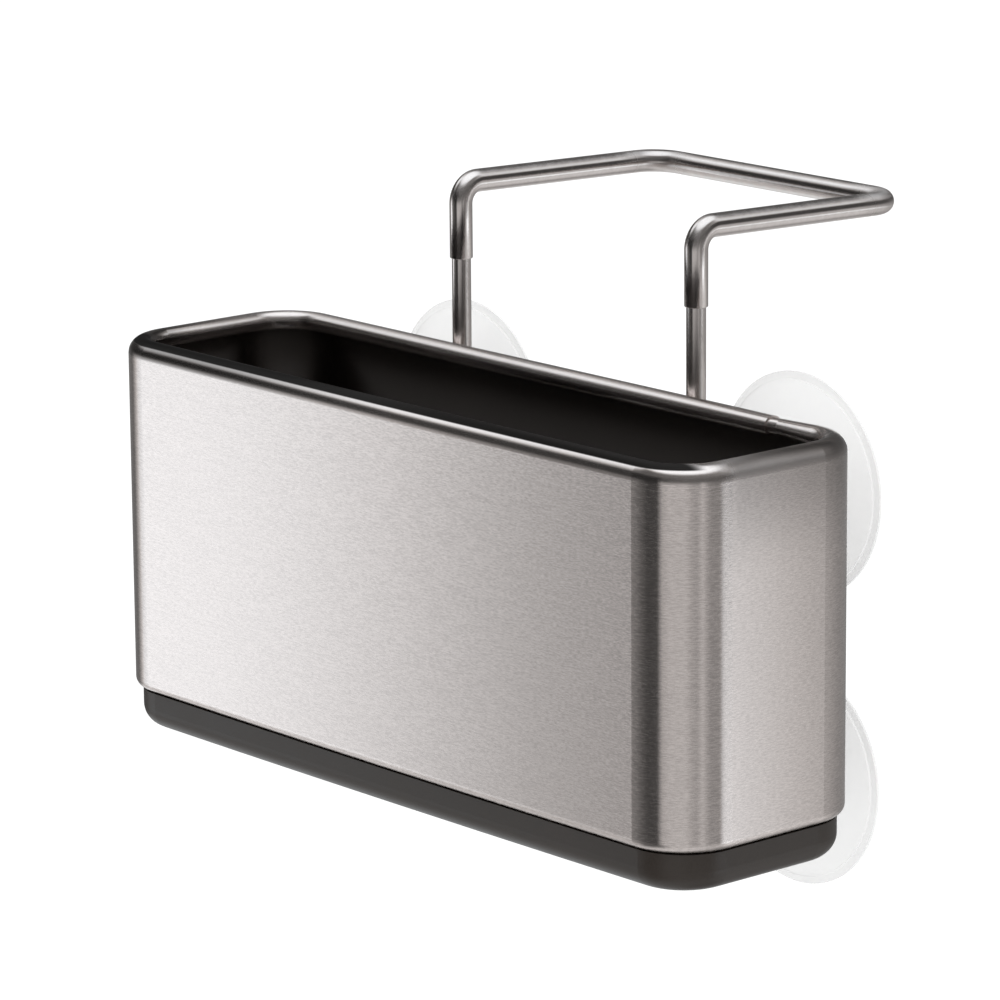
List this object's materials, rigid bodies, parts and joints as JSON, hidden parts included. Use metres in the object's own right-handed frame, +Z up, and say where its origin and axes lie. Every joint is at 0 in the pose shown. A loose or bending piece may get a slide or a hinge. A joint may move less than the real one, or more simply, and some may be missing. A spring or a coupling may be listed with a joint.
{
  "type": "sponge holder",
  "caption": "Slim sink caddy: a brushed steel wrap on a dark plastic base, a steel tube loop that slides up and down behind it, and suction cups for a smooth wall.",
  "frame": {"origin": "on the sink wall, in the middle of the four suction cups' lip faces", "axes": "+X to the right along the body as seen from the front, +Y into the wall, +Z up"},
  "size_m": [0.223, 0.14, 0.1706],
  "materials": {
    "wrap_steel": "brushed along the body, satin",
    "tube_steel": "satin, fine drawn grain",
    "base_plastic": "matte, fine moulded grain",
    "bracket_plastic": "matte",
    "rivet_metal": "plain",
    "cup_pvc": "soft frosted clear"
  },
  "bodies": {
    "caddy": {"body_shell": "wrap_steel", "bracket_left": "bracket_plastic", "bracket_right": "bracket_plastic", "bracket_rivets": "rivet_metal", "suction_cup_upper_left": "cup_pvc", "suction_cup_upper_right": "cup_pvc", "suction_cup_lower_left": "cup_pvc", "suction_cup_lower_right": "cup_pvc"},
    "arm": {"hanging_loop": "tube_steel", "post_left": "tube_steel", "post_right": "tube_steel", "stop_pin_left": "tube_steel", "stop_pin_right": "tube_steel"},
    "base": {"base_tray": "base_plastic"}
  },
  "joints": [
    {"name": "arm_height", "type": "slide", "parent": "caddy", "child": "arm", "axis": [0, 0, 1], "range_m": [-0.02, 0.03]},
    {"name": "base_pull", "type": "slide", "parent": "caddy", "child": "base", "axis": [0, 0, -1], "range_m": [0, 0.02]}
  ]
}
